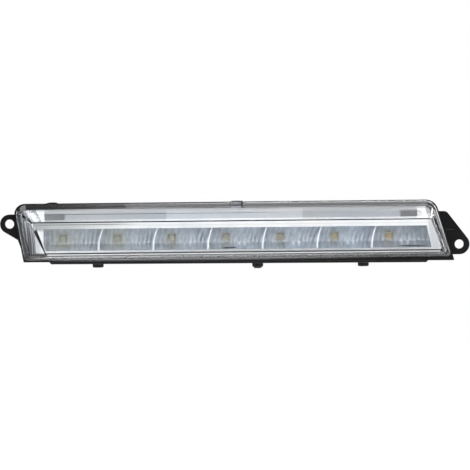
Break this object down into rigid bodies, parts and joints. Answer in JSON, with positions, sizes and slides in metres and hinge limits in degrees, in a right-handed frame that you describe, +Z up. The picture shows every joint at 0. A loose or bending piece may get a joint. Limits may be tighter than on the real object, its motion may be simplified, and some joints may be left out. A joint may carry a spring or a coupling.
{
  "type": "daytime running light",
  "caption": "Slim car daytime running light: black housing with an ear at each end, stepped clear lens, bright bezel and a row of fluted LED reflector cells.",
  "frame": {"origin": "midway between the two ear holes, on the rear face of the ears", "axes": "+X to the right along the lamp seen from the front, +Z up, the lens faces -Y"},
  "size_m": [0.3377, 0.066, 0.0493],
  "materials": {
    "housing": "fine moulded grain, black",
    "lens": "clear polished",
    "sealant": "satin",
    "bezel": "bright metallised",
    "reflector": "metallised, fluted",
    "led_board": "white solder mask",
    "thermal_pad": "matte",
    "heat_sink": "extruded",
    "screws": "zinc plated",
    "driver_board": "green solder mask",
    "inductor": "moulded ferrite",
    "capacitor": "drawn can",
    "chip": "moulded",
    "link_block": "moulded",
    "contacts": "tinned",
    "socket": "moulded, black",
    "gasket": "silicone",
    "breather": "satin",
    "led": "phosphor over a pale package"
  },
  "bodies": {
    "root": {"bezel": "bezel", "board_screws": "screws", "breather_cap": "breather", "capacitor": "capacitor", "connector_seal": "gasket", "connector_socket": "socket", "driver_board": "driver_board", "driver_chip": "chip", "driver_screws": "screws", "heat_sink": "heat_sink", "housing": "housing", "inductor": "inductor", "led_1": "led", "led_2": "led", "led_3": "led", "led_4": "led", "led_5": "led", "led_6": "led", "led_7": "led", "led_board": "led_board", "lens": "lens", "lens_seal": "sealant", "link_block": "link_block", "link_pins": "contacts", "reflector": "reflector", "terminals": "contacts", "thermal_pad": "thermal_pad"}
  },
  "joints": []
}
